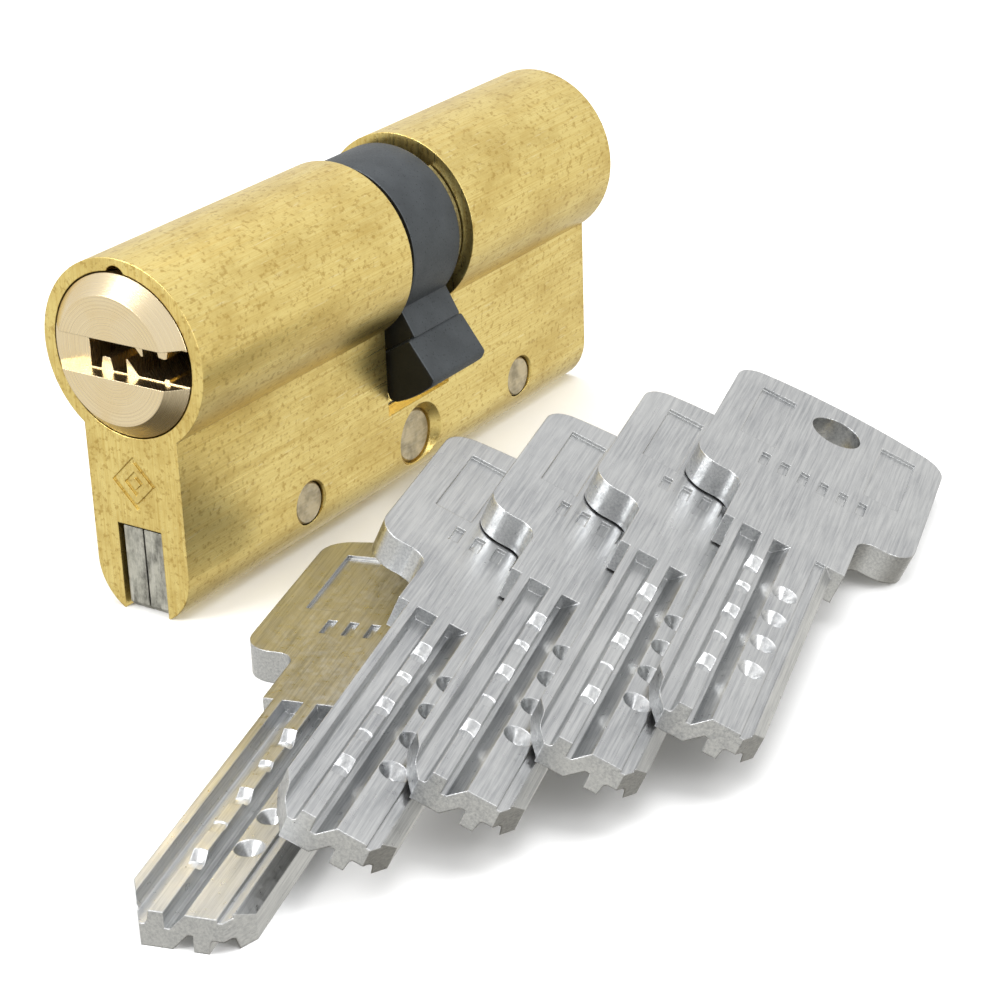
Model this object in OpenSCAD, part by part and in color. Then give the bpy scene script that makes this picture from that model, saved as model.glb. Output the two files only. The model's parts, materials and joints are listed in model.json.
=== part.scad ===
// Profile door cylinder with a key-operated plug in each end, a locking cam between them,
// a two-piece clutch, pin stacks, steel reinforcement plates and its set of dimple keys.
// Axes: +Y runs along the plugs from the front end to the rear end, +Z is up from the web
// to the plugs, +X is one side of the web. The origin is the middle of the fixing hole.

/* [Housing] */
// Diameter of the round part of the profile
round_d = 17; // [16.6:0.1:17.4]
// Thickness of the web
web_w = 10; // [9.8:0.1:10.2]
// Height of the full profile, before its foot is cut flat
profile_h = 33; // [32.8:0.1:33.2]
// Height cut off the rounded foot of the web
foot_flat = 0.7; // [0.4:0.1:1.0]
// Length of the front half, from the fixing hole
front_l = 35; // [35:1:50]
// Length of the rear half, from the fixing hole
rear_l = 30; // [30:1:50]
// Height of the plug axis above the fixing hole
axis_h = 19.3; // [19.2:0.1:19.4]

/* [Window and cam] */
// Width of the window that the cam turns in
window_w = 10; // [10:0.1:10.4]
// Radius of the window's floor about the plug axis
window_r = 16.2; // [16:0.1:16.4]
// Outer diameter of the cam's ring
cam_ring_d = 15.8; // [15.4:0.1:16.2]
// Width of the cam's ring along the plugs
cam_ring_w = 7.6; // [7.4:0.1:7.8]
// Width of the cam's blade along the plugs
cam_blade_w = 8.8; // [8.4:0.1:9]
// Radius of the blade's tip about the plug axis
cam_tip_r = 15.2; // [15:0.1:15.4]
// Angle of the blade from straight down, with the key out
cam_rest_angle = 30; // [0:5:60]

/* [Plugs] */
// Diameter of the plug's shank
plug_d = 13; // [12.9:0.1:13.1]
// Diameter of the plug's head
plug_head_d = 14.4; // [14.2:0.1:14.6]
// Length of the head inside the housing
plug_head_l = 2.4; // [2.2:0.1:2.6]
// How far the head stands out of the housing
plug_proud = 1.5; // [1.3:0.1:1.6]
// Diameter of the stub that carries the cam
stub_d = 11.4; // [11.3:0.1:11.4]
// Radial clearance of a turning fit
running_gap = 0.05; // [0.03:0.01:0.08]

/* [Keyway] */
// Height of the keyway
keyway_h = 3.1; // [3:0.05:3.2]
// Width of the key's blade
blade_w = 9.4; // [9.2:0.1:9.4]
// Sideways offset of the blade's middle from the plug axis
blade_x = 1.28; // [1.2:0.02:1.34]
// Length of the key's blade
blade_l = 30.1; // [29.8:0.1:30.1]
// Thickness of the key
key_t = 2.9; // [2.7:0.1:2.9]

/* [Pin stacks] */
// Diameter of a pin chamber
chamber_d = 3; // [2.9:0.05:3.1]
// Distance from the key's shoulder, flush with the housing's end, to the first pin
first_pin = 5.6; // [5.5:0.1:5.8]
// Spacing of the pins
pin_pitch = 4.4; // [4.3:0.1:4.4]
// Length of a driver pin
driver_pin_l = 3.6; // [3.4:0.1:3.8]
// Wire diameter of a pin spring
spring_wire = 0.34; // [0.3:0.02:0.4]

/* [Reinforcement] */
// Width of the groove in the web's foot
groove_w = 4.8; // [4.6:0.1:5]
// Thickness of one steel plate
plate_t = 2.1; // [2:0.05:2.15]
// Diameter of the cross pins
cross_pin_d = 3.9; // [3.7:0.1:4]
// Distance of the cross pins from the fixing hole
cross_pin_y = 17.5; // [17:0.5:18]
// Bore of the threaded insert, the core of an M5 thread
insert_bore_d = 4.2; // [4.1:0.05:4.3]
// Outer diameter of the threaded insert
insert_d = 5.4; // [5.2:0.1:5.6]

/* [Keys] */
// Width of the key's bow
bow_w = 21; // [20:0.5:22]
// Length of the bow
bow_l = 22; // [21:0.5:23]
// Length of the neck between the blade and the bow
neck_l = 7.5; // [7:0.5:8]
// Width of the neck
neck_w = 11.2; // [11:0.1:11.4]
// Lean of each key on the key before it
key_lean = 25; // [20:1:26]
// Step of the fanned keys along their length
fan_step = 7; // [6:1:9]

/* [Hidden] */
$fn = 96;

brass = [0.80, 0.71, 0.42];
nickel_brass = [0.78, 0.72, 0.62];
sintered_steel = [0.29, 0.31, 0.34];
plate_steel = [0.55, 0.55, 0.53];
pin_steel = [0.60, 0.57, 0.52];
spring_steel = [0.68, 0.69, 0.70];
nickel_silver = [0.78, 0.79, 0.80];

round_r = round_d / 2;
web_x = web_w / 2;
foot_arc_z = -(profile_h - round_r - web_x);
foot_z = -(profile_h - round_r - foot_flat);
bore_r = plug_d / 2 + running_gap;
counterbore_r = plug_head_d / 2 + 0.15;
circlip_r = stub_d / 2 - 0.4;
cross_hole_r = cross_pin_d / 2 + 0.12;
insert_hole_r = insert_d / 2;
insert_recess = 0.9;
insert_end_t = 1.4;
groove_top = -15.65;
plate_top = -15.9;
window_y = window_w / 2;
notch_r = 1.05;
pin_x = -0.4;
eps = 0.01;
over = 1;

// Keyway outline: a slot with three teeth from above, and the same three from below
keyway_z = 0.05;
keyway_left = blade_x - blade_w / 2 - 0.1;
key_pin_seat = -2.4;
nose_l = 2.4;
nose_r = 0.65;
// Lift left above each key pin's shoulder when its stack stands at the shear line
pin_lift = [0.6, 1.1, 0.8, 1.3, 0.7];
driver_top = -(bore_r + 0.05);

// Rest stations of the clutch: a front key touches the front bar, a rear key moves both
flange_w = 2.6;
clutch_travel = 2.6;
driver_bar_w = 3;
driver_bar_r = 5.1;
front_bar = [-(front_l - blade_l) + 0.05, 1.2];
rear_bar = [1.45, 5.2];
rear_web = clutch_travel - (blade_l - rear_l) - rear_bar[0];
slot_gap = 0.1;

// Draws its children in the frame whose origin lies on the plug axis
module on_axis() { translate([0, 0, axis_h]) children(); }

// Extrudes a 2D outline, drawn as seen from the front, from y0 to y1
module along_y(y0, y1) {
    translate([0, y1, 0]) rotate([90, 0, 0]) linear_extrude(y1 - y0) children();
}

// Round bar or hole along Y
module rod_y(r, y0, y1, r2 = undef) {
    translate([0, y0, 0]) rotate([-90, 0, 0])
        cylinder(r1 = r, r2 = is_undef(r2) ? r : r2, h = y1 - y0);
}

// Round bar or hole along X
module rod_x(r, x0, x1, r2 = undef) {
    translate([x0, 0, 0]) rotate([0, 90, 0])
        cylinder(r1 = r, r2 = is_undef(r2) ? r : r2, h = x1 - x0);
}

// Places its children at each end: side is -1 at the front and 1 at the rear
function end_y(side) = side < 0 ? front_l : rear_l;
// Distance of pin i from the middle of the window
function pin_y(side, i) = side * (end_y(side) - first_pin - pin_pitch * i);

module profile() {
    circle(round_r);
    translate([-web_x, foot_arc_z]) square([web_w, -foot_arc_z]);
    intersection() {
        translate([0, foot_arc_z]) circle(web_x);
        translate([-web_x, foot_z]) square([web_w, -foot_z]);
    }
}

// Everything that one end of the housing has cut into it
module end_cuts(side) {
    rotate([0, 0, side < 0 ? 0 : 180]) {
        face = -end_y(side);
        rod_y(bore_r, face - over, 0);
        rod_y(counterbore_r, face - over, face + plug_head_l + 0.1);
        translate([0, 0, counterbore_r - notch_r / 2]) rod_y(notch_r, face - over, face + 3);
        for (i = [0:4])
            translate([pin_x, -abs(pin_y(side, i)), groove_top - eps])
                cylinder(d = chamber_d, h = -groove_top);
        translate([0, -cross_pin_y, -axis_h]) {
            rod_x(cross_hole_r, -web_x - over, web_x + over);
            rod_x(cross_hole_r, web_x - 0.15, web_x + 0.05, cross_hole_r + 0.2);
            rod_x(cross_hole_r + 0.2, -web_x - 0.05, -web_x + 0.15, cross_hole_r);
        }
    }
}

module housing() {
    color(brass) on_axis() difference() {
        along_y(-front_l, rear_l) profile();
        rod_y(window_r, -window_y, window_y);
        end_cuts(-1);
        end_cuts(1);
        translate([-groove_w / 2, -front_l - over, foot_z - over])
            cube([groove_w, front_l + rear_l + 2 * over, groove_top - foot_z + over]);
        translate([0, 0, -axis_h]) {
            rod_x(insert_hole_r, -web_x - over, web_x + over);
            rod_x(insert_hole_r, web_x - 0.8, web_x + 0.05, insert_hole_r + 0.75);
            rod_x(insert_hole_r + 0.75, -web_x - 0.05, -web_x + 0.8, insert_hole_r);
        }
        face_mark();
    }
}

// Plain lozenge engraved on the web's front face
module face_mark() {
    mark_z = -11.6;
    line_w = 0.4;
    depth = 0.18;
    for (size = [3.5, 1.6])
        translate([0, 0, mark_z]) along_y(-front_l - over, -front_l + depth) rotate(45)
            difference() {
                square(size, center = true);
                square(size - 2 * line_w, center = true);
            }
}

// One of the two steel plates that lie side by side in the groove
module reinforcement_plate(x0) {
    end_gap = 0.25;
    corner = 0.6;
    y0 = -front_l + end_gap;
    y1 = rear_l - end_gap;
    color(plate_steel) on_axis() difference() {
        translate([x0, 0, 0]) rotate([90, 0, 90]) linear_extrude(plate_t)
            polygon([[y0, plate_top], [y0, foot_z + corner], [y0 + corner, foot_z],
                [y1 - corner, foot_z], [y1, foot_z + corner], [y1, plate_top]]);
        translate([0, 0, -axis_h]) rod_x(insert_d / 2, -web_x, web_x);
        for (y = [-cross_pin_y, cross_pin_y])
            translate([0, y, -axis_h]) rod_x(cross_pin_d / 2 + eps, -web_x, web_x);
    }
}

module reinforcement_plate_left() {
    reinforcement_plate(groove_w / 2 - 0.2 - 2 * plate_t);
}

module reinforcement_plate_right() {
    reinforcement_plate(groove_w / 2 - 0.05 - plate_t);
}

// Headless pin that locks the plates in the web
module cross_pin(y) {
    recess = 0.25;
    chamfer = 0.15;
    color(pin_steel) translate([0, y, 0]) {
        x1 = web_x - recess;
        rod_x(cross_pin_d / 2, -x1 + chamfer, x1 - chamfer);
        rod_x(cross_pin_d / 2 - chamfer, -x1, -x1 + chamfer, cross_pin_d / 2);
        rod_x(cross_pin_d / 2, x1 - chamfer, x1, cross_pin_d / 2 - chamfer);
    }
}

module cross_pin_front() { cross_pin(-cross_pin_y); }
module cross_pin_rear() { cross_pin(cross_pin_y); }

// Insert with a closed end on the +X side and its thread's mouth on the other
module fixing_insert() {
    x1 = web_x - insert_recess;
    chamfer = 0.3;
    color(pin_steel) difference() {
        union() {
            rod_x(insert_d / 2, -x1, x1 - chamfer);
            rod_x(insert_d / 2, x1 - chamfer, x1, insert_d / 2 - chamfer);
        }
        rod_x(insert_bore_d / 2, -web_x, x1 - insert_end_t);
        rod_x(insert_bore_d / 2 + 0.25, -x1 - 0.05, -x1 + 0.2, insert_bore_d / 2);
    }
}

// Teeth that stand into the keyway from above
module keyway_teeth() {
    top = keyway_h / 2 + eps;
    polygon([[2.42, top], [2.62, 0.5], [3.2, 0.42], [3.48, 0.5], [3.72, top]]);
    polygon([[-0.35, top], [0.75, 0.28], [0.92, 0.28], [0.92, top]]);
    polygon([[-3.68, top], [-3.55, 1.3], [-3.15, 1.3], [-3.02, top]]);
}

// Cross-section of the keyway, about the middle of the key; it is open towards +X
module keyway_outline() {
    difference() {
        translate([keyway_left - blade_x, -keyway_h / 2]) square([plug_head_d, keyway_h]);
        keyway_teeth();
        rotate(180) keyway_teeth();
    }
}

module keyway_cut(y0, y1) {
    translate([blade_x, 0, keyway_z]) along_y(y0, y1) keyway_outline();
}

// A plug, drawn as the front one. slot_y is where the clutch slot begins
module plug(side, slot_y) {
    face = -end_y(side) - plug_proud;
    chamfer = plug_proud;
    shank_end = -window_y + 0.03;
    groove_end = -cam_ring_w / 2 - 0.13;
    stub_end = -1.5;
    difference() {
        union() {
            rod_y(plug_head_d / 2 - chamfer, face, face + chamfer, plug_head_d / 2);
            rod_y(plug_head_d / 2, face + chamfer, -end_y(side) + plug_head_l);
            rod_y(plug_d / 2, -end_y(side) + plug_head_l, shank_end);
            rod_y(circlip_r, shank_end, groove_end);
            rod_y(stub_d / 2, groove_end, stub_end);
        }
        keyway_cut(face - over, stub_end + over);
        translate([-plug_head_d, face - over, -1.6])
            cube([2 * plug_head_d, plug_proud + over, 3.35]);
        translate([-driver_bar_w / 2 - 0.05, slot_y, -plug_d])
            cube([driver_bar_w + 0.1, -slot_y, 2 * plug_d]);
        for (i = [0:4]) translate([pin_x, -abs(pin_y(side, i)), 0]) {
            translate([0, 0, -plug_d]) cylinder(d = chamber_d, h = plug_d + key_pin_seat);
            translate([0, 0, -plug_d]) cylinder(r = nose_r + 0.1, h = plug_d - keyway_h / 2 + 0.2);
        }
    }
}

module front_plug() {
    color(nickel_brass) on_axis() plug(-1, front_bar[0] - clutch_travel - slot_gap);
}

module rear_plug() {
    color(nickel_brass) on_axis() rotate([0, 0, 180]) plug(1, -rear_bar[1] - slot_gap);
}

// Open ring that holds a plug in its half of the housing
module circlip(y) {
    thick = 0.9;
    gap_angle = 34;
    color(spring_steel) on_axis() difference() {
        rod_y(7.3, y - thick / 2, y + thick / 2);
        rod_y(circlip_r + eps, y - thick, y + thick);
        translate([0, y, 0]) rotate([90, 0, 0]) translate([0, 0, -thick])
            linear_extrude(2 * thick)
                polygon([[0, 0], [-9 * sin(gap_angle), 9 * cos(gap_angle)],
                    [9 * sin(gap_angle), 9 * cos(gap_angle)]]);
    }
}

module front_circlip() { circlip(-(window_y + cam_ring_w / 2) / 2); }
module rear_circlip() { circlip((window_y + cam_ring_w / 2) / 2); }

// Outline of the blade, pointing straight down: it flares a little towards its tip
module blade_outline(r0, r1) {
    root_w = 2.42;
    tip_w = 3.15;
    intersection() {
        polygon([[-root_w, -r0], [-tip_w, -r1 - 1], [tip_w, -r1 - 1], [root_w, -r0]]);
        circle(r1);
        polygon([[-tip_w - 1, 0], [-tip_w - 1, -13.7], [-1.7, -r1 - 0.3],
            [1.7, -r1 - 0.3], [tip_w + 1, -13.7], [tip_w + 1, 0]]);
    }
}

module cam() {
    neck_r = 10.3;
    ring_y = cam_ring_w / 2;
    blade_y = cam_blade_w / 2;
    bore = stub_d / 2 + running_gap;
    color(sintered_steel) on_axis() rotate([0, -cam_rest_angle, 0]) {
        difference() {
            union() {
                rod_y(cam_ring_d / 2, -ring_y, ring_y);
                along_y(-ring_y, ring_y) translate([-2.75, -neck_r - eps])
                    square([5.5, neck_r - bore - 1]);
            }
            rod_y(bore, -ring_y - over, ring_y + over);
        }
        along_y(-blade_y, blade_y) blade_outline(neck_r, cam_tip_r);
    }
    color(sintered_steel) on_axis() difference() {
        rod_y(bore + 0.5, -flange_w / 2, flange_w / 2);
        rod_y(3.7, -flange_w, flange_w);
        translate([-driver_bar_w / 2 - 0.1, -flange_w, -bore])
            cube([driver_bar_w + 0.2, 2 * flange_w, 2 * bore]);
    }
}

// Bar of a clutch driver: it slides in its plug's slot and enters the cam's flange
module driver_bar(y0, y1) {
    intersection() {
        translate([-driver_bar_w / 2, y0, -driver_bar_r])
            cube([driver_bar_w, y1 - y0, 2 * driver_bar_r]);
        rod_y(driver_bar_r, y0 - over, y1 + over);
    }
}

spring_bore = 1.25;
front_spring_seat = front_bar[1] - 3.6;
rear_spring_seat = rear_bar[0] + rear_web / 2;

module front_clutch_driver() {
    color(pin_steel) on_axis() difference() {
        driver_bar(front_bar[0], front_bar[1]);
        rod_y(spring_bore, front_spring_seat, front_bar[1] + over);
    }
}

module rear_clutch_driver() {
    color(pin_steel) on_axis() difference() {
        driver_bar(rear_bar[0], rear_bar[1]);
        translate([-driver_bar_w, rear_bar[0] + rear_web, -1.75])
            cube([2 * driver_bar_w, rear_bar[1], 3.5]);
        rod_y(spring_bore, rear_bar[0] - over, rear_spring_seat);
    }
}

// Helical spring along +Z: radius of the wire's middle line, height, turns
function helix_ring(r, z, angle, wire, sides) =
    [for (k = [0:sides - 1]) let (a = 360 * k / sides)
        [(r + wire / 2 * cos(a)) * cos(angle), (r + wire / 2 * cos(a)) * sin(angle),
            z + wire / 2 * sin(a)]];

module helix(r, height, turns, wire, steps = 14, sides = 6) {
    n = round(turns * steps);
    points = [for (i = [0:n]) each
        helix_ring(r, wire / 2 + (height - wire) * i / n, 360 * turns * i / n, wire, sides)];
    walls = [for (i = [0:n - 1], k = [0:sides - 1]) let (m = (k + 1) % sides)
        [i * sides + k, (i + 1) * sides + k, (i + 1) * sides + m, i * sides + m]];
    start = [for (k = [0:sides - 1]) k];
    finish = [for (k = [sides - 1:-1:0]) n * sides + k];
    polyhedron(points, concat(walls, [start, finish]), convexity = 6);
}

module clutch_spring() {
    color(spring_steel) on_axis() translate([0, front_spring_seat, 0]) rotate([-90, 0, 0])
        helix(0.95, rear_spring_seat - front_spring_seat, 5, 0.3);
}

// Round pin with a nose that reads the key; its foot follows the plug's skin
module key_pin(side, i) {
    body_top = key_pin_seat - pin_lift[i];
    point = 0.35;
    x = -side * pin_x;
    color(brass) on_axis() translate([0, pin_y(side, i), 0]) {
        intersection() {
            translate([x, 0, -plug_d]) cylinder(d = chamber_d - 0.1, h = plug_d + body_top);
            rod_y(plug_d / 2 - 0.05, -chamber_d, chamber_d);
        }
        translate([x, 0, body_top - eps]) cylinder(r = nose_r, h = nose_l - point + eps);
        translate([x, 0, body_top + nose_l - point])
            cylinder(r1 = nose_r, r2 = nose_r / 2, h = point);
    }
}

module driver_pin(side, i) {
    collar = 0.3;
    r = chamber_d / 2 - 0.05;
    color(pin_steel) on_axis() translate([-side * pin_x, pin_y(side, i), driver_top - driver_pin_l]) {
        cylinder(r1 = r - collar, r2 = r, h = collar);
        translate([0, 0, collar]) cylinder(r = r, h = driver_pin_l - collar - 0.15);
        translate([0, 0, driver_pin_l - 0.15]) cylinder(r1 = r, r2 = r - 0.15, h = 0.15);
    }
}

module pin_spring(side, i) {
    color(spring_steel) on_axis() translate([-side * pin_x, pin_y(side, i), plate_top])
        helix(1.05, driver_top - driver_pin_l - plate_top, 5.5, spring_wire);
}

// 2D outline with rounded corners, drawn as a bow with a slightly crowned end
module bow_outline() {
    corner = 2.6;
    offset(corner, $fn = 40) offset(-corner) difference() {
        translate([-bow_w / 2, -neck_l - bow_l]) square([bow_w, bow_l]);
        difference() {
            translate([-bow_w, -neck_l - bow_l - over]) square([2 * bow_w, 1.4 + over]);
            translate([0, -neck_l - bow_l + 45]) circle(45, $fn = 180);
        }
    }
}

module bow_and_neck_outline() {
    fillet = 1.6;
    offset(-fillet, $fn = 40) offset(fillet) union() {
        bow_outline();
        translate([-neck_w / 2, -neck_l - 2]) square([neck_w, neck_l + 2]);
    }
}

module blade_plan() {
    tip_x = 2.9;
    polygon([[-blade_w / 2, -over], [-blade_w / 2, blade_l - 2.6], [-tip_x - 0.4, blade_l],
        [tip_x, blade_l], [blade_w / 2, blade_l - 3.4], [blade_w / 2, -over]]);
}

// Grooves of one face of the blade, each a little wider than the keyway's tooth
module blade_grooves() {
    top = key_t / 2 + over;
    polygon([[2.0, top], [2.32, 0.5], [2.5, 0.32], [3.6, 0.32], [3.78, 0.5], [4.1, top]]);
    polygon([[-0.75, top], [-0.55, key_t / 2], [0.65, 0.16], [1.04, 0.16], [1.04, top]]);
    polygon([[-3.8, top], [-3.75, 1.18], [-2.95, 1.18], [-2.85, top]]);
    polygon([[-blade_w / 2 - 1, 0.55], [-blade_w / 2, 0.55], [-3.8, key_t / 2],
        [-3.8, top], [-blade_w / 2 - 1, top]]);
}

// Cuts for the pins in one face: shallow flats in one row, cones in the other
module pin_cuts() {
    flat_x = blade_x - pin_x;
    cone_x = -flat_x;
    for (i = [0:4]) {
        depth = key_pin_seat + nose_l - pin_lift[i] - keyway_z + key_t / 2;
        translate([flat_x, first_pin + pin_pitch * i, key_t / 2 - depth])
            cylinder(r1 = nose_r, r2 = 2.2, h = 1.6);
    }
    for (i = [0:3])
        translate([cone_x, first_pin + pin_pitch * (i + 0.5), key_t / 2 - 0.9])
            cylinder(r1 = 0.25, r2 = 1.75, h = 1.5);
}

module key_face_cuts() {
    along_y(-0.01, blade_l + over) blade_grooves();
    pin_cuts();
}

// Two plain recesses beside the hole and a row of grip bars, the same on both faces
module bow_relief() {
    depth = 0.3;
    recess_w = 3.4;
    recess_l = 10.5;
    recess_x = bow_w / 2 - 2.7 - recess_w;
    bar_w = 0.8;
    bar_l = 2.4;
    bar_gap = 1.9;
    bars = 6;
    translate([0, 0, key_t / 2 - depth]) linear_extrude(depth + over) {
        for (side = [0, 1]) mirror([side, 0])
            translate([recess_x, -neck_l - bow_l + 3.4]) square([recess_w, recess_l]);
        for (i = [0:bars - 1])
            translate([(i - (bars - 1) / 2) * bar_gap - bar_w / 2, -neck_l - 6.4])
                square([bar_w, bar_l]);
    }
}

// A key as it lies in the keyway: shoulder at y = 0, tip towards +Y, bow towards -Y
module key_blank() {
    hole_y = -neck_l - bow_l + 5;
    difference() {
        union() {
            translate([0, 0, -key_t / 2]) linear_extrude(key_t) bow_and_neck_outline();
            translate([0, 0, -key_t / 2]) linear_extrude(key_t) intersection() {
                blade_plan();
                translate([-bow_w, -eps]) square([2 * bow_w, blade_l + 2]);
            }
        }
        for (flip = [0, 180]) rotate([0, flip, 0]) {
            key_face_cuts();
            bow_relief();
        }
        translate([0, hole_y, -key_t]) cylinder(d = 4.8, h = 2 * key_t);
    }
}

// Fan of keys on the surface that the housing's foot stands on
fan_turn = 196;
fan_start = [37, -42];
surface_z = axis_h + foot_z;
lean_gap = 0.15;
fan_pitch = (key_t + lean_gap) / sin(key_lean);
first_pitch = (key_t + lean_gap) / tan(key_lean);

// Key i of the fan: the first lies flat, each other leans on the one before it
module fanned_key(i) {
    across = i == 0 ? 0 : first_pitch + fan_pitch * (i - 1);
    lean = i == 0 ? 0 : key_lean;
    color(nickel_silver)
        translate([fan_start[0], fan_start[1], surface_z]) rotate([0, 0, fan_turn])
            translate([-across, -fan_step * i, 0]) rotate([0, -lean, 0])
                translate([bow_w / 2, 0, key_t / 2]) key_blank();
}

housing();
reinforcement_plate_left();
reinforcement_plate_right();
cross_pin_front();
cross_pin_rear();
fixing_insert();
front_plug();
rear_plug();
front_circlip();
rear_circlip();
cam();
front_clutch_driver();
rear_clutch_driver();
clutch_spring();
for (i = [0:4]) {
    key_pin(-1, i);
    driver_pin(-1, i);
    pin_spring(-1, i);
    key_pin(1, i);
    driver_pin(1, i);
    pin_spring(1, i);
    fanned_key(i);
}
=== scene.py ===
# Finishes a double profile cylinder and its keys: broken edges, coiled springs, a cut thread,
# metal finishes, and a pale studio to look at them in. The frame's parts keep their places.
import json
import math

import bmesh
import bpy
from mathutils import Matrix, Vector


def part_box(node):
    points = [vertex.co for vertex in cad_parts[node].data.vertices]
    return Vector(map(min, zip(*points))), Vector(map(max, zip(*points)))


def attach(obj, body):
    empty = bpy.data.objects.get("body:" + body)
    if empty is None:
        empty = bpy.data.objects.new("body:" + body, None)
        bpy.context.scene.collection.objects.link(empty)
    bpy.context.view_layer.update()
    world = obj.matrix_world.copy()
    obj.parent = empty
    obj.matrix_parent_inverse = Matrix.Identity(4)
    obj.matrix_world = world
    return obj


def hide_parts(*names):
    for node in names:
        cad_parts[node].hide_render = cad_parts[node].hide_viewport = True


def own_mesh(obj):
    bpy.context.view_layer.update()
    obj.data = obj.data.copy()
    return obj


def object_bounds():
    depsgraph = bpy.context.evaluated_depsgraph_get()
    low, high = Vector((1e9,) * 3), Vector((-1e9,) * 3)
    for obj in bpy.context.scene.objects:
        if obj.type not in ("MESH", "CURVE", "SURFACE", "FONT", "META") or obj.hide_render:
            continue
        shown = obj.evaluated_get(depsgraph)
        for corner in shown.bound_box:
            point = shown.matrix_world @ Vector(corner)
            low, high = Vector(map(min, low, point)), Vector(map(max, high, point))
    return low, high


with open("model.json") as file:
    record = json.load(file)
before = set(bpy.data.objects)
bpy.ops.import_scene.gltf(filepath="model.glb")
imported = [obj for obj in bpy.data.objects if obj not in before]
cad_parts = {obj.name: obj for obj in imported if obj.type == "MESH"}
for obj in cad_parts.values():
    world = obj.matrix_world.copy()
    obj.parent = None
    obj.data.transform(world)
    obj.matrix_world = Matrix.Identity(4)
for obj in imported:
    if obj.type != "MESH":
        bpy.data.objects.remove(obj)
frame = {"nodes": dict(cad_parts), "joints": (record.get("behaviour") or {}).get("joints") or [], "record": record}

CAD_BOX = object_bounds()
MM = 0.001
# Faces that meet more sharply than this have a crisp edge between them
CRISP = math.radians(28)
# The rays that a material spends on each spot to round the shading of its edges
EDGE_SAMPLES = 6
# The radii of the springs' wires
PIN_WIRE = 0.17 * MM
CLUTCH_WIRE = 0.15 * MM

bl_info = {
    "name": "Profile Cylinder Finish",
    "version": (1, 0, 0),
    "blender": (4, 5, 0),
    "location": "3D View > Sidebar > Cylinder",
    "description": "Finishes a profile cylinder and its keys",
    "category": "Object",
}

# The plug axis stands this high over the fixing hole, where the origin is
AXIS_Z = sum(corner.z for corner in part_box("front_plug")) / 2
# A key slides along its own length, which is also the way its brushed lines run
KEY_SLIDE = next(joint for joint in frame["joints"] if joint["name"] == "key_1_slide")
KEY_TURN = math.atan2(-KEY_SLIDE["axis"][0], KEY_SLIDE["axis"][1])


def linear(code):
    """The linear colour of an sRGB hex code."""
    parts = [int(code[i:i + 2], 16) / 255 for i in (1, 3, 5)]
    return tuple(c / 12.92 if c <= 0.04045 else ((c + 0.055) / 1.055) ** 2.4 for c in parts)


class MetalLook(bpy.types.PropertyGroup):
    brass: bpy.props.FloatVectorProperty(
        name="Brass", description="Colour of the drawn housing bar", subtype="COLOR",
        min=0, max=1, default=linear("#F1DC90"))
    brass_shade: bpy.props.FloatVectorProperty(
        name="Brass Lines", description="Colour in the brass's drawn lines", subtype="COLOR",
        min=0, max=1, default=linear("#D9BC6C"))
    nickel_brass: bpy.props.FloatVectorProperty(
        name="Nickel Brass", description="Colour of the turned plugs", subtype="COLOR",
        min=0, max=1, default=linear("#F3E3BF"))
    cam_steel: bpy.props.FloatVectorProperty(
        name="Sintered Steel", description="Colour of the cam", subtype="COLOR",
        min=0, max=1, default=linear("#54585B"))
    plate_steel: bpy.props.FloatVectorProperty(
        name="Plate Steel", description="Colour of the reinforcement plates", subtype="COLOR",
        min=0, max=1, default=linear("#C2C1B7"))
    pin_steel: bpy.props.FloatVectorProperty(
        name="Pin Steel", description="Colour of the cross pins and the insert",
        subtype="COLOR", min=0, max=1, default=linear("#CCBE9E"))
    key_silver: bpy.props.FloatVectorProperty(
        name="Nickel Silver", description="Colour of the keys", subtype="COLOR",
        min=0, max=1, default=linear("#CDCECE"))
    spring_steel: bpy.props.FloatVectorProperty(
        name="Spring Steel", description="Colour of the springs and circlips",
        subtype="COLOR", min=0, max=1, default=linear("#B4B6B8"))
    line_spacing: bpy.props.FloatProperty(
        name="Line Spacing", description="Distance between drawn lines in the brass",
        default=0.15 * MM, unit="LENGTH", precision=6)
    turning_feed: bpy.props.FloatProperty(
        name="Turning Feed", description="Distance between turned rings on the plugs",
        default=0.16 * MM, unit="LENGTH", precision=6)


class EdgeSizes(bpy.types.PropertyGroup):
    housing: bpy.props.FloatProperty(
        name="Housing Edges", description="Width of the housing's broken edges",
        default=0.12 * MM, unit="LENGTH", precision=6)
    plug: bpy.props.FloatProperty(
        name="Plug Edges", description="Width of the plugs' broken edges",
        default=0.10 * MM, unit="LENGTH", precision=6)
    cam: bpy.props.FloatProperty(
        name="Cam Edges", description="Width of the cam's rounded edges",
        default=0.3 * MM, unit="LENGTH", precision=6)
    steel: bpy.props.FloatProperty(
        name="Steel Edges", description="Width of the small steel parts' broken edges",
        default=0.08 * MM, unit="LENGTH", precision=6)
    key: bpy.props.FloatProperty(
        name="Key Edges", description="Width of the keys' tumbled edges",
        default=0.14 * MM, unit="LENGTH", precision=6)
    thread_pitch: bpy.props.FloatProperty(
        name="Thread Pitch", description="Pitch of the M5 thread in the insert",
        default=0.8 * MM, unit="LENGTH", precision=6)
    thread_depth: bpy.props.FloatProperty(
        name="Thread Depth", description="Depth of the M5 thread in the insert",
        default=0.4 * MM, unit="LENGTH", precision=6)


class StudioSettings(bpy.types.PropertyGroup):
    floor: bpy.props.FloatVectorProperty(
        name="Floor", description="Colour of the floor", subtype="COLOR",
        min=0, max=1, default=linear("#FAFAFA"))
    light: bpy.props.FloatProperty(
        name="Light", description="Strength of the softboxes", default=1.0, min=0)
    lens: bpy.props.FloatProperty(
        name="Lens", description="Focal length of the camera in millimetres", default=94)


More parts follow.
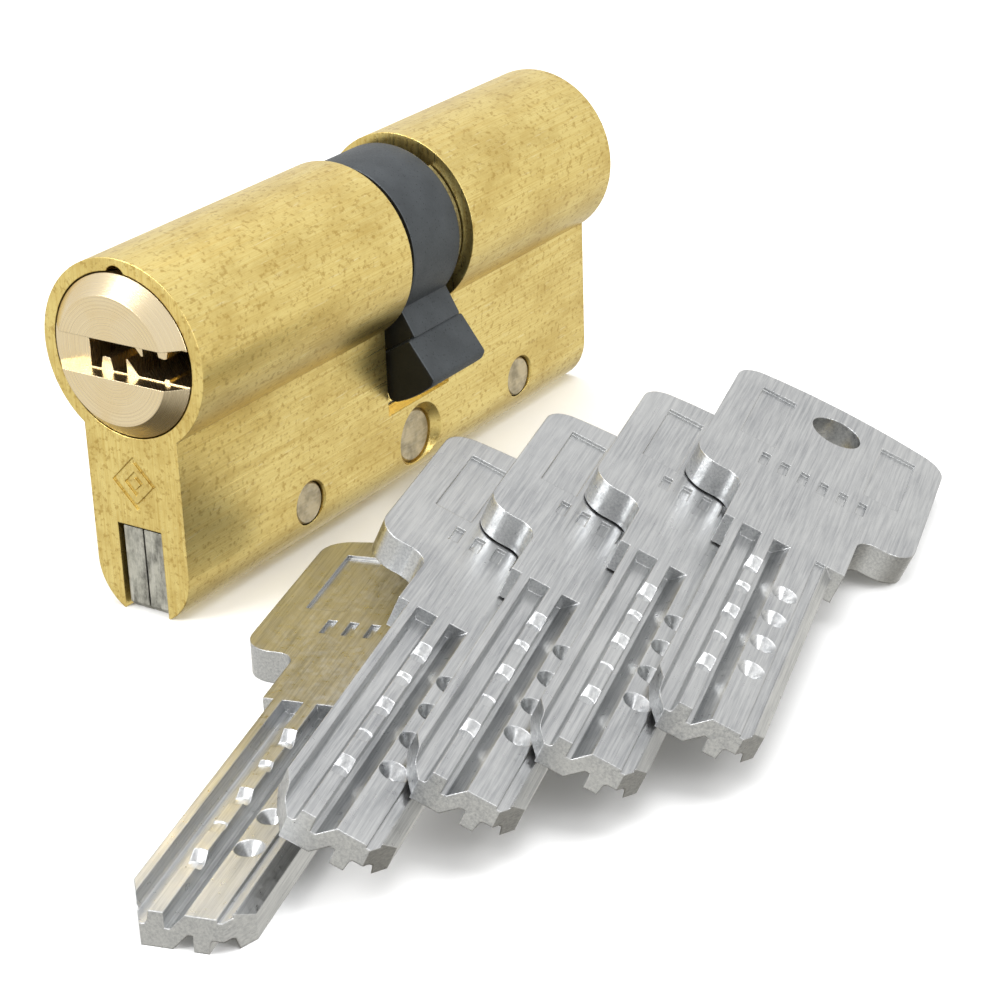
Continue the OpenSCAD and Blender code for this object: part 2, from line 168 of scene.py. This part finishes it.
def add(tree, kind, inputs=None, **settings):
    """Adds a node to a tree. An input is a value, or the socket that feeds it."""
    node = tree.nodes.new(kind)
    for name, value in settings.items():
        setattr(node, name, value)
    for name, value in (inputs or {}).items():
        if isinstance(value, bpy.types.NodeSocket):
            tree.links.new(value, node.inputs[name])
        else:
            node.inputs[name].default_value = value
    return node


def metal(name, roughness, metallic=1.0):
    """A material with a metallic shader, its tree and that shader."""
    material = bpy.data.materials.new(name)
    material.use_nodes = True
    tree = material.node_tree
    tree.nodes.clear()
    shader = add(tree, "ShaderNodeBsdfPrincipled", {
        "Metallic": metallic, "Roughness": roughness})
    add(tree, "ShaderNodeOutputMaterial", {"Surface": shader.outputs["BSDF"]})
    return material, tree, shader


def shade(colour, share=1.0):
    """A colour, darkened to a share of itself, as a colour socket takes it."""
    return (*(share * part for part in colour), 1)


def grain(tree, where, sizes, detail, roughness):
    """Irregular grains of a size in metres along each axis. Returns their value socket."""
    stretched = add(tree, "ShaderNodeMapping", {
        "Vector": where, "Scale": [1 / size for size in sizes]})
    noise = add(tree, "ShaderNodeTexNoise", {
        "Vector": stretched.outputs["Vector"], "Scale": 1.0,
        "Detail": detail, "Roughness": roughness})
    return noise.outputs["Fac"]


def veil(tree, pattern, start, end, under, over, cover=1.0):
    """Lays a colour over another where a pattern rises from start to end, up to a cover.

    Each colour is a value, or the socket that feeds it. Returns the colour socket.
    """
    amount = add(tree, "ShaderNodeMapRange", {
        "Value": pattern, "From Min": start, "From Max": end, "To Max": cover})
    mix = add(tree, "ShaderNodeMix", {0: amount.outputs["Result"], 6: under, 7: over},
              data_type="RGBA")
    return mix.outputs[2]


def gloss(tree, shader, pattern, at_low, at_high):
    """Lets a pattern move the roughness from its value at the low spots to the high ones."""
    amount = add(tree, "ShaderNodeMapRange", {
        "Value": pattern, "From Min": 0.3, "From Max": 0.7,
        "To Min": at_low, "To Max": at_high})
    tree.links.new(amount.outputs["Result"], shader.inputs["Roughness"])


def relief(tree, shader, height, strength, depth, edge_width=0):
    """Presses a pattern into a metal, and rounds the shading of its edges by a width."""
    bump = add(tree, "ShaderNodeBump", {
        "Strength": strength, "Distance": depth, "Height": height})
    if edge_width:
        edge = add(tree, "ShaderNodeBevel", {"Radius": edge_width}, samples=EDGE_SAMPLES)
        tree.links.new(edge.outputs["Normal"], bump.inputs["Normal"])
    tree.links.new(bump.outputs["Normal"], shader.inputs["Normal"])


def end_face(tree, where, start, end, cover=1.0):
    """A mask over the faces that stand across the cylinder. Returns its value socket."""
    facing = add(tree, "ShaderNodeSeparateXYZ", {"Vector": where["Normal"]}).outputs["Y"]
    size = add(tree, "ShaderNodeMath", {0: facing}, operation="ABSOLUTE").outputs[0]
    return add(tree, "ShaderNodeMapRange", {
        "Value": size, "From Min": start, "From Max": end, "To Max": cover}).outputs["Result"]


def brushed_brass(look):
    # Drawn and brushed CuZn39 bar: straight lines along the bar, milled lines on its ends,
    # and a soft greenish-gold shine with faint clouds of tarnish. The real lines are finer
    # than a tenth of a millimetre, and are drawn coarser so that they show.
    material, tree, shader = metal("Brushed Brass", 0.3)
    where = add(tree, "ShaderNodeTexCoord").outputs
    line = look.line_spacing
    drawn = grain(tree, where["Object"], (line, 110 * line, line), 4.0, 0.8)
    scratches = grain(tree, where["Object"], (1.4 * line, 18 * line, 1.4 * line), 3.0, 0.6)
    specks = grain(tree, where["Object"], (3 * line, 4 * line, 3 * line), 3.0, 0.6)
    milled = grain(tree, where["Object"], (1.25 * line, line, 40 * line), 4.0, 0.75)
    is_end = end_face(tree, where, 0.7, 0.9)
    lines = add(tree, "ShaderNodeMix", {0: is_end, 2: drawn, 3: milled}).outputs[0]
    clouds = grain(tree, where["Object"], (3.846 * MM, 7.143 * MM, 3.846 * MM), 5.0, 0.7)
    base = veil(tree, lines, 0.30, 0.56, shade(look.brass_shade), shade(look.brass))
    tarnish = veil(tree, clouds, 0.44, 0.66, base, shade(linear("#D0B468")), 0.7)
    bright = veil(tree, scratches, 0.62, 0.74, tarnish, shade(linear("#FAF0C4")), 0.5)
    spotted = veil(tree, specks, 0.54, 0.66, bright, shade(linear("#B7964C")), 0.65)
    tree.links.new(spotted, shader.inputs["Base Color"])
    gloss(tree, shader, lines, 0.42, 0.24)
    relief(tree, shader, lines, 0.55, 0.012 * MM, bpy.context.scene.edge_sizes.housing)
    return material


def turned_nickel_brass(look):
    # Lathe-turned nickel-plated brass: rings around the axis, pale and slightly pink. The
    # real feed leaves finer rings, which are drawn coarser so that they show.
    material, tree, shader = metal("Turned Nickel Brass", 0.24)
    where = add(tree, "ShaderNodeTexCoord").outputs
    centred = add(tree, "ShaderNodeMapping", {
        "Vector": where["Object"], "Location": (0, 0, -AXIS_Z), "Scale": (1, 0, 1)})
    radius = add(tree, "ShaderNodeVectorMath", {0: centred.outputs["Vector"]},
                 operation="LENGTH").outputs["Value"]
    along = add(tree, "ShaderNodeSeparateXYZ", {"Vector": where["Object"]}).outputs["Y"]
    travel = add(tree, "ShaderNodeMath", {0: radius, 1: along}, operation="ADD").outputs[0]
    path = add(tree, "ShaderNodeCombineXYZ", {"X": travel}).outputs["Vector"]
    rings = grain(tree, path, [look.turning_feed] * 3, 4.0, 0.8)
    patches = grain(tree, where["Object"], [2.857 * MM] * 3, 3.0, 0.5)
    base = veil(tree, rings, 0.3, 0.62, shade(linear("#DAC49E")), shade(look.nickel_brass))
    warm = veil(tree, patches, 0.45, 0.7, base, shade(linear("#E6CE9E")), 0.5)
    tree.links.new(warm, shader.inputs["Base Color"])
    gloss(tree, shader, rings, 0.34, 0.18)
    relief(tree, shader, rings, 0.5, 0.012 * MM, bpy.context.scene.edge_sizes.plug)
    return material


def sintered_steel(look):
    # Pressed and sintered steel, blackened: matte, blue-grey, with pressed grains about
    # 0.2 mm across, pores twice as far apart, and painted shade that darkens its two ends
    material, tree, shader = metal("Sintered Steel", 0.5, 0.85)
    where = add(tree, "ShaderNodeTexCoord").outputs
    powder = grain(tree, where["Object"], [0.1923 * MM] * 3, 4.0, 0.7)
    pores = add(tree, "ShaderNodeTexVoronoi", {
        "Vector": where["Object"], "Scale": 1 / (0.3846 * MM)})
    pits = add(tree, "ShaderNodeMapRange", {
        "Value": pores.outputs["Distance"], "From Min": 0.05, "From Max": 0.22})
    clouds = grain(tree, where["Object"], [2.381 * MM] * 3, 3.0, 0.5)
    base = veil(tree, clouds, 0.35, 0.68, shade(look.cam_steel, 0.8), shade(look.cam_steel))
    grained = add(tree, "ShaderNodeMix", {
        0: pits.outputs["Result"], 6: shade(look.cam_steel, 0.4), 7: base}, data_type="RGBA")
    # Painted shade: the faces across the cylinder, at the cam's two ends, are darkened nearly to black
    shade_painted_on_ends = add(tree, "ShaderNodeMix", {
        0: end_face(tree, where, 0.8, 0.95, 0.75), 6: grained.outputs[2],
        7: shade(linear("#17150F"))}, data_type="RGBA")
    tree.links.new(shade_painted_on_ends.outputs[2], shader.inputs["Base Color"])
    gloss(tree, shader, powder, 0.42, 0.62)
    height = add(tree, "ShaderNodeMath", {0: powder, 1: pits.outputs["Result"]},
                 operation="ADD").outputs[0]
    relief(tree, shader, height, 0.5, 0.02 * MM)
    return material


def mottled_plate(look):
    # Sheared steel strip: mottled grey in blotches of a millimetre, with shear lines that
    # run across its edge, drawn at 0.15 mm because the real ones are too fine to show
    material, tree, shader = metal("Sheared Steel Plate", 0.42, 0.9)
    where = add(tree, "ShaderNodeTexCoord").outputs["Object"]
    blotches = grain(tree, where, (1.111 * MM, 1.111 * MM, 1.923 * MM), 5.0, 0.7)
    shear = grain(tree, where, (0.1538 * MM, 0.3846 * MM, 3.846 * MM), 4.0, 0.6)
    base = veil(tree, blotches, 0.36, 0.62,
                shade(look.plate_steel, 0.34), shade(look.plate_steel))
    bright = veil(tree, shear, 0.55, 0.7, base, shade(linear("#DAD9D2")), 0.6)
    tree.links.new(bright, shader.inputs["Base Color"])
    gloss(tree, shader, blotches, 0.55, 0.3)
    relief(tree, shader, shear, 0.6, 0.03 * MM)
    return material


def ground_pin_steel(look):
    # Ground steel pin, cut to length: warm grey with long scratches from the grinder, drawn
    # coarser than the real ones so that they show
    material, tree, shader = metal("Ground Pin Steel", 0.4, 0.9)
    where = add(tree, "ShaderNodeTexCoord").outputs["Object"]
    scratches = grain(tree, where, (0.3333 * MM, 1.667 * MM, 0.1923 * MM), 5.0, 0.7)
    stains = grain(tree, where, [1.429 * MM] * 3, 3.0, 0.6)
    base = veil(tree, stains, 0.35, 0.62, shade(look.pin_steel, 0.55), shade(look.pin_steel))
    bright = veil(tree, scratches, 0.5, 0.72, base, shade(linear("#D6CDBD")), 0.4)
    tree.links.new(bright, shader.inputs["Base Color"])
    gloss(tree, shader, scratches, 0.5, 0.32)
    relief(tree, shader, scratches, 0.5, 0.015 * MM, bpy.context.scene.edge_sizes.steel)
    return material


def spring_wire(look):
    # Drawn spring steel, phosphated: smooth and grey with faint drawing marks
    material, tree, shader = metal("Spring Steel", 0.3)
    where = add(tree, "ShaderNodeTexCoord").outputs["Object"]
    marks = grain(tree, where, [0.2857 * MM] * 3, 4.0, 0.6)
    colour = veil(tree, marks, 0.35, 0.6,
                  shade(look.spring_steel, 0.5), shade(look.spring_steel))
    tree.links.new(colour, shader.inputs["Base Color"])
    gloss(tree, shader, marks, 0.36, 0.22)
    return material


def key_nickel_silver(look):
    # Nickel silver blank, tumbled then brushed along its length: satin white with soft
    # lines, which are drawn at 0.2 mm because the real ones are too fine to show
    material, tree, shader = metal("Nickel Silver", 0.32)
    where = add(tree, "ShaderNodeTexCoord").outputs["Object"]
    along_key = add(tree, "ShaderNodeMapping", {
        "Vector": where, "Rotation": (0, 0, -KEY_TURN)}).outputs["Vector"]
    lines = grain(tree, along_key, (0.2174 * MM, 7.143 * MM, 0.2174 * MM), 5.0, 0.7)
    tumbled = grain(tree, where, [0.6667 * MM] * 3, 4.0, 0.6)
    clouds = grain(tree, where, [8.333 * MM] * 3, 3.0, 0.5)
    base = veil(tree, lines, 0.32, 0.62, shade(linear("#A3A5A8")), shade(look.key_silver))
    soft = veil(tree, clouds, 0.4, 0.65, base, shade(linear("#DADBDA")), 0.35)
    tree.links.new(soft, shader.inputs["Base Color"])
    gloss(tree, shader, tumbled, 0.40, 0.26)
    relief(tree, shader, lines, 0.4, 0.010 * MM, bpy.context.scene.edge_sizes.key)
    return material


FINISHES = {
    "brass": brushed_brass,
    "nickel_brass": turned_nickel_brass,
    "sintered_steel": sintered_steel,
    "plate_steel": mottled_plate,
    "pin_steel": ground_pin_steel,
    "spring_steel": spring_wire,
    "nickel_silver": key_nickel_silver,
}
NODE_FINISH = {sub["node"]: sub["material_slot"] for sub in frame["record"]["subparts"]}
made_finishes = {}


def finish_of(slot_name):
    """The material for a material slot of the record, made once."""
    if slot_name not in made_finishes:
        look = bpy.context.scene.metal_look
        made_finishes[slot_name] = FINISHES[slot_name](look)
    return made_finishes[slot_name]


def body_of(node):
    """The name of the body that a node of the frame belongs to."""
    bodies = frame["record"]["behaviour"]["bodies"]
    return next(body for body, nodes in bodies.items() if node in nodes)


def stand_for(piece, node):
    """Lets a finished piece take the place of a node: its body, finish and looks."""
    piece.data.materials.clear()
    piece.data.materials.append(finish_of(NODE_FINISH[node]))
    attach(piece, body_of(node))
    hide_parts(node)


def add_piece(name, mesh):
    """Puts a mesh in the scene as an object of its own."""
    piece = bpy.data.objects.new(name, mesh)
    bpy.context.scene.collection.objects.link(piece)
    return piece


def apply_modifiers(piece):
    """Replaces a piece by the plain mesh that its modifiers give."""
    graph = bpy.context.evaluated_depsgraph_get()
    mesh = bpy.data.meshes.new_from_object(piece.evaluated_get(graph))
    piece.modifiers.clear()
    piece.data = mesh


def room_to_round(shape, width):
    """The width that each crisp outer edge can be rounded by before it meets its neighbours."""
    least_angle, least_sine, straight = 0.05, 0.05, math.radians(170)
    share_of_edge, share_of_face = 0.9, 0.4
    room = {edge: width for edge in shape.edges
            if edge.is_convex and edge.calc_face_angle() > CRISP}
    for face in shape.faces:
        corners = list(face.loops)
        area = face.calc_area()
        for at, corner in enumerate(corners):
            edge, after = corner.edge, corners[(at + 1) % len(corners)]
            before = corners[at - 1]
            taken = 0
            for side, angle in ((before.edge, corner.calc_angle()),
                                (after.edge, after.calc_angle())):
                if side in room and edge in room:
                    taken += 1 / math.tan(max(angle, least_angle) / 2)
                elif side in room and angle < straight:
                    taken += 1 / max(math.sin(angle), least_sine)
            for side in (before.edge, edge, after.edge):
                if side in room and taken > 0:
                    free = share_of_edge * edge.calc_length() / taken
                    room[side] = min(room[side], free)
            if edge in room:
                room[edge] = min(room[edge], share_of_face * area / edge.calc_length())
    return room


def break_edges(node, width=0):
    """Stands in for a node with a copy whose crisp outer edges are rounded by a width.

    With no width the copy keeps its exact edges, and is only shaded smooth between them.
    """
    # The work is done with millimetres as units, which suits Blender's merging distances
    mesh = frame["nodes"][node].data.copy()
    mesh.transform(Matrix.Scale(1 / MM, 4))
    # The copy's own normals would outlive the merge and smear its shading
    mesh.attributes.remove(mesh.attributes["custom_normal"])
    shape = bmesh.new()
    shape.from_mesh(mesh)
    joined = 0.02 if width else 0.002
    bmesh.ops.remove_doubles(shape, verts=shape.verts, dist=joined)
    bmesh.ops.dissolve_degenerate(shape, edges=shape.edges, dist=joined)
    if width:
        flat = math.radians(0.5)
        bmesh.ops.dissolve_limit(shape, angle_limit=flat, verts=shape.verts,
                                 edges=shape.edges)
        share = shape.edges.layers.float.new("bevel_weight_edge")
        for edge, room in room_to_round(shape, width / MM).items():
            edge[share] = room / (width / MM)
    shape.to_mesh(mesh)
    shape.free()
    piece = add_piece(f"{node}_finish", mesh)
    if width:
        rounding = piece.modifiers.new("Broken Edges", "BEVEL")
        rounding.width = width / MM
        rounding.segments = 2
        rounding.limit_method = "WEIGHT"
        rounding.use_clamp_overlap = False
        apply_modifiers(piece)
    piece.data.shade_smooth()
    still_crisp = math.radians(42) if width else CRISP
    piece.data.set_sharp_from_angle(angle=still_crisp)
    shading = piece.modifiers.new("Flat Faces Stay Flat", "WEIGHTED_NORMAL")
    shading.mode = "FACE_AREA"
    shading.weight = 50
    shading.keep_sharp = True
    apply_modifiers(piece)
    piece.data.transform(Matrix.Scale(MM, 4))
    stand_for(piece, node)


def threaded_insert(node, pitch, depth):
    """A round insert along X in the box of a node, threaded at low X and closed at high X."""
    low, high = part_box(node)
    outer = (high.z - low.z) / 2
    hole = frame_mount("fixing_screw")["dims"]
    crest = hole["r_mm"] * MM
    length = hole["length_mm"] * MM
    around = 72
    steps_per_turn = 12
    steps = steps_per_turn * round(length / pitch)
    # The share of the pitch between the thread's crest and the groove beside it
    flank = 0.44
    chamfer = 0.3 * MM
    # Each loop has a place along X and a radius for each spot around the insert. The first
    # ones follow the thread from the bottom of its hole to its mouth, which flares out.
    loops = []
    for step in range(steps + 1):
        x = low.x + length * (1 - step / steps)
        flare = max(0, depth - (x - low.x))
        loop = []
        for turn in range(around):
            phase = (x / pitch - turn / around) % 1
            ridge = max(0, 1 - abs(phase - 0.5) / flank)
            loop.append((x, crest + max(depth * (1 - ridge), flare)))
        loops.append(loop)
    outside = [(low.x, outer - chamfer / 2), (low.x + chamfer / 2, outer),
               (high.x - chamfer, outer), (high.x, outer - chamfer)]
    loops += [[station] * around for station in outside]
    shape = bmesh.new()
    grid = []
    for loop in loops:
        turns = [math.tau * turn / around for turn in range(around)]
        grid.append([shape.verts.new((x, radius * math.cos(angle), radius * math.sin(angle)))
                     for (x, radius), angle in zip(loop, turns)])
    for this, following in zip(grid, grid[1:]):
        for turn in range(around):
            after = (turn + 1) % around
            shape.faces.new((this[turn], this[after], following[after], following[turn]))
    shape.faces.new(grid[0])
    shape.faces.new(grid[-1])
    bmesh.ops.recalc_face_normals(shape, faces=shape.faces)
    mesh = bpy.data.meshes.new("threaded_insert")
    shape.to_mesh(mesh)
    shape.free()
    mesh.shade_smooth()
    mesh.set_sharp_from_angle(angle=math.radians(35))
    insert = add_piece("threaded_insert", mesh)
    stand_for(insert, node)


def frame_mount(name):
    """A mount of the record, by its name."""
    return next(m for m in frame["record"]["mounts"] if m["name"] == name)


def coil_tree(material):
    """Geometry nodes for a compression spring with one closed turn at each end."""
    tree = bpy.data.node_groups.new("Closed Coil", "GeometryNodeTree")
    face = tree.interface
    for name, default in (("Radius", 1.0 * MM), ("Height", 5 * MM), ("Turns", 6.0),
                          ("Wire", PIN_WIRE)):
        face.new_socket(name, in_out="INPUT", socket_type="NodeSocketFloat")
        face.items_tree[name].default_value = default
    face.new_socket("Foot", in_out="INPUT", socket_type="NodeSocketVector")
    face.new_socket("Turn", in_out="INPUT", socket_type="NodeSocketVector")
    face.new_socket("Geometry", in_out="OUTPUT", socket_type="NodeSocketGeometry")
    given = add(tree, "NodeGroupInput").outputs
    spiral = add(tree, "GeometryNodeCurveSpiral", {
        "Resolution": 24, "Rotations": given["Turns"], "Start Radius": given["Radius"],
        "End Radius": given["Radius"], "Height": 0.0})
    factor = add(tree, "GeometryNodeSplineParameter").outputs["Factor"]
    one_turn = add(tree, "ShaderNodeMath", {0: 1.0, 1: given["Turns"]},
                   operation="DIVIDE").outputs[0]
    last_turn = add(tree, "ShaderNodeMath", {0: 1.0, 1: one_turn},
                    operation="SUBTRACT").outputs[0]
    # Wire is a radius. Each of the two closed turns rises by two of it, and the wire's own
    # thickness takes two more, so the open turns rise by the height less six
    thick = add(tree, "ShaderNodeMath", {0: given["Wire"], 1: 2.0},
                operation="MULTIPLY").outputs[0]
    closed = add(tree, "ShaderNodeMath", {0: given["Wire"], 1: 6.0},
                 operation="MULTIPLY").outputs[0]
    open_part = add(tree, "ShaderNodeMath", {0: given["Height"], 1: closed},
                    operation="SUBTRACT").outputs[0]
    rises = []
    for start, end, rise in ((0.0, one_turn, thick), (one_turn, last_turn, open_part),
                             (last_turn, 1.0, thick)):
        rises.append(add(tree, "ShaderNodeMapRange", {
            "Value": factor, "From Min": start, "From Max": end,
            "To Min": 0.0, "To Max": rise}).outputs["Result"])
    lower = add(tree, "ShaderNodeMath", {0: rises[0], 1: rises[1]}).outputs[0]
    upper = add(tree, "ShaderNodeMath", {0: lower, 1: rises[2]}).outputs[0]
    height = add(tree, "ShaderNodeMath", {0: upper, 1: given["Wire"]}).outputs[0]
    lift = add(tree, "ShaderNodeCombineXYZ", {"Z": height}).outputs["Vector"]
    raised = add(tree, "GeometryNodeSetPosition", {
        "Geometry": spiral.outputs["Curve"], "Offset": lift})
    section = add(tree, "GeometryNodeCurvePrimitiveCircle", {
        "Resolution": 10, "Radius": given["Wire"]})
    wire = add(tree, "GeometryNodeCurveToMesh", {
        "Curve": raised.outputs["Geometry"], "Profile Curve": section.outputs["Curve"],
        "Fill Caps": True})
    smooth = add(tree, "GeometryNodeSetShadeSmooth", {"Geometry": wire.outputs["Mesh"]})
    placed = add(tree, "GeometryNodeTransform", {
        "Geometry": smooth.outputs["Geometry"], "Translation": given["Foot"],
        "Rotation": given["Turn"]})
    plain = add(tree, "GeometryNodeRealizeInstances", {"Geometry": placed.outputs["Geometry"]})
    dressed = add(tree, "GeometryNodeSetMaterial", {
        "Geometry": plain.outputs["Geometry"], "Material": material})
    add(tree, "NodeGroupOutput", {"Geometry": dressed.outputs["Geometry"]})
    return tree


def wind_coil(tree, node, turns, wire, axis):
    """A coil in place of a spring node, which fills the node's box along one axis."""
    low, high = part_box(node)
    foot = (low + high) / 2
    setattr(foot, axis, getattr(low, axis))
    values = {
        "Radius": (high.x - low.x) / 2 - wire,
        "Height": getattr(high, axis) - getattr(low, axis),
        "Turns": turns, "Wire": wire, "Foot": foot,
        "Turn": (0, 0, 0) if axis == "z" else (-math.pi / 2, 0, 0)}
    piece = add_piece(f"{node}_coil", bpy.data.meshes.new(node))
    coil = piece.modifiers.new("Coil", "NODES")
    coil.node_group = tree
    for name, value in values.items():
        coil[tree.interface.items_tree[name].identifier] = value
    apply_modifiers(piece)
    stand_for(piece, node)
    return piece


class FinishHousing(bpy.types.Operator):
    """Finish the brass housing"""
    bl_idname = "cylinder.finish_housing"
    bl_label = "Housing"

    def execute(self, context):
        break_edges("housing")
        return {"FINISHED"}


class FinishReinforcement(bpy.types.Operator):
    """Finish the steel plates, their cross pins and the threaded insert"""
    bl_idname = "cylinder.finish_reinforcement"
    bl_label = "Reinforcement"

    def execute(self, context):
        sizes = context.scene.edge_sizes
        for node in ("reinforcement_plate_left", "reinforcement_plate_right"):
            break_edges(node, sizes.steel)
        for node in ("cross_pin_front", "cross_pin_rear"):
            break_edges(node)
        threaded_insert("fixing_insert", sizes.thread_pitch, sizes.thread_depth)
        return {"FINISHED"}


class FinishPlugs(bpy.types.Operator):
    """Finish the two plugs and the circlips that hold them"""
    bl_idname = "cylinder.finish_plugs"
    bl_label = "Plugs"

    def execute(self, context):
        sizes = context.scene.edge_sizes
        for node in ("front_plug", "rear_plug"):
            break_edges(node)
        for node in ("front_circlip", "rear_circlip"):
            break_edges(node, sizes.steel)
        return {"FINISHED"}


class FinishCam(bpy.types.Operator):
    """Finish the cam and the clutch drivers inside it"""
    bl_idname = "cylinder.finish_cam"
    bl_label = "Cam and Clutch"

    def execute(self, context):
        sizes = context.scene.edge_sizes
        break_edges("cam", sizes.cam)
        for node in ("front_clutch_driver", "rear_clutch_driver"):
            break_edges(node, sizes.steel)
        return {"FINISHED"}


class FinishPins(bpy.types.Operator):
    """Finish the key pins and the driver pins"""
    bl_idname = "cylinder.finish_pins"
    bl_label = "Pins"

    def execute(self, context):
        for node in frame["nodes"]:
            if "key_pin_" in node or "driver_pin_" in node:
                break_edges(node)
        return {"FINISHED"}


class WindSprings(bpy.types.Operator):
    """Wind the pin springs and the clutch spring"""
    bl_idname = "cylinder.wind_springs"
    bl_label = "Springs"

    def execute(self, context):
        tree = coil_tree(finish_of("spring_steel"))
        wind_coil(tree, "clutch_spring", 6.0, CLUTCH_WIRE, "y")
        for joint in frame["joints"]:
            for deformed in joint.get("deforming_nodes", []):
                node = deformed["node"]
                coil = wind_coil(tree, node, 7.5, PIN_WIRE, "z")
                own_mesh(coil)
        return {"FINISHED"}


class FinishKeys(bpy.types.Operator):
    """Finish the five keys"""
    bl_idname = "cylinder.finish_keys"
    bl_label = "Keys"

    def execute(self, context):
        for node in frame["nodes"]:
            if node.startswith("key_"):
                break_edges(node)
        return {"FINISHED"}


def softbox(name, place, target, width, height, power):
    """Hangs a rectangular light that faces a target."""
    light = bpy.data.lights.new(name, "AREA")
    light.shape = "RECTANGLE"
    light.size, light.size_y = width, height
    light.energy = power
    lamp = bpy.data.objects.new(name, light)
    lamp.location = place
    lamp.rotation_euler = (Vector(target) - Vector(place)).to_track_quat("-Z", "Y").to_euler()
    bpy.context.scene.collection.objects.link(lamp)


class BuildStudio(bpy.types.Operator):
    """Lay the pale floor, hang the softboxes and set the camera"""
    bl_idname = "cylinder.build_studio"
    bl_label = "Studio"

    def execute(self, context):
        studio = context.scene.studio_settings
        low, high = CAD_BOX
        middle = (low + high) / 2

        floor = bpy.data.meshes.new("studio_floor")
        reach = 1.5
        corners = [(-reach, -reach), (reach, -reach), (reach, reach), (-reach, reach)]
        floor.from_pydata([(x, y, low.z) for x, y in corners], [], [(0, 1, 2, 3)])
        ground = add_piece("studio_floor", floor)
        paper = bpy.data.materials.new("Matte Paper")
        paper.use_nodes = True
        sheet = paper.node_tree.nodes["Principled BSDF"]
        sheet.inputs["Roughness"].default_value = 0.9
        sheet.inputs["Base Color"].default_value = (*studio.floor, 1)
        floor.materials.append(paper)
        # Metals reflect the studio's darker lower air in place of the floor's white
        ground.visible_glossy = False
        context.scene.view_settings.view_transform = "Standard"

        world = bpy.data.worlds.new("Studio Air")
        world.use_nodes = True
        tree = world.node_tree
        tree.nodes.clear()
        rising = add(tree, "ShaderNodeSeparateXYZ", {
            "Vector": add(tree, "ShaderNodeTexCoord").outputs["Generated"]}).outputs["Z"]
        below = veil(tree, rising, -0.95, -0.5, shade(linear("#6A6456")),
                     shade(linear("#FFFDF6")))
        above = veil(tree, rising, -0.2, 0.5, below, shade(linear("#FFFFFF")))
        air = add(tree, "ShaderNodeBackground", {
            "Color": above, "Strength": 0.90 * studio.light})
        add(tree, "ShaderNodeOutputWorld", {"Surface": air.outputs["Background"]})
        context.scene.world = world

        softbox("Front Softbox", (-0.22, -0.42, 0.34), middle, 0.30, 0.30, 2.2 * studio.light)
        softbox("Top Softbox", (0.05, 0.05, 0.55), middle, 0.50, 0.22, 1.8 * studio.light)
        softbox("Side Softbox", (0.55, -0.10, 0.22), middle, 0.25, 0.35, 1.3 * studio.light)

        camera = bpy.data.cameras.new("Camera")
        camera.lens = studio.lens
        camera.sensor_width = 36
        camera.clip_start = 0.01
        eye = bpy.data.objects.new("Camera", camera)
        eye.location = (0.1375, -0.1864, 0.0962)
        target = Vector((0.0250, -0.0170, 0.0045))
        ahead = (target - eye.location).to_track_quat("-Z", "Y").to_matrix()
        # The roll is a turn about the line of sight
        roll = Matrix.Rotation(math.radians(-2.04), 3, "Z")
        eye.rotation_euler = (ahead @ roll).to_euler()
        context.scene.collection.objects.link(eye)
        context.scene.camera = eye
        return {"FINISHED"}


STEPS = (FinishHousing, FinishReinforcement, FinishPlugs, FinishCam, FinishPins,
         WindSprings, FinishKeys, BuildStudio)


class CylinderPanel(bpy.types.Panel):
    """Lists the finishing steps"""
    bl_idname = "VIEW3D_PT_cylinder"
    bl_label = "Profile Cylinder"
    bl_space_type = "VIEW_3D"
    bl_region_type = "UI"
    bl_category = "Cylinder"

    def draw(self, context):
        for step in STEPS:
            self.layout.operator(step.bl_idname)
        for group in ("metal_look", "edge_sizes", "studio_settings"):
            settings = getattr(context.scene, group)
            box = self.layout.box()
            for name in settings.__annotations__:
                box.prop(settings, name)


CLASSES = (MetalLook, EdgeSizes, StudioSettings, *STEPS, CylinderPanel)


def register():
    for cls in CLASSES:
        bpy.utils.register_class(cls)
    bpy.types.Scene.metal_look = bpy.props.PointerProperty(type=MetalLook)
    bpy.types.Scene.edge_sizes = bpy.props.PointerProperty(type=EdgeSizes)
    bpy.types.Scene.studio_settings = bpy.props.PointerProperty(type=StudioSettings)


def unregister():
    del bpy.types.Scene.studio_settings
    del bpy.types.Scene.edge_sizes
    del bpy.types.Scene.metal_look
    for cls in reversed(CLASSES):
        bpy.utils.unregister_class(cls)


def main():
    register()
    for step in STEPS:
        family, name = step.bl_idname.split(".")
        getattr(getattr(bpy.ops, family), name)()


if __name__ == "__main__":
    main()
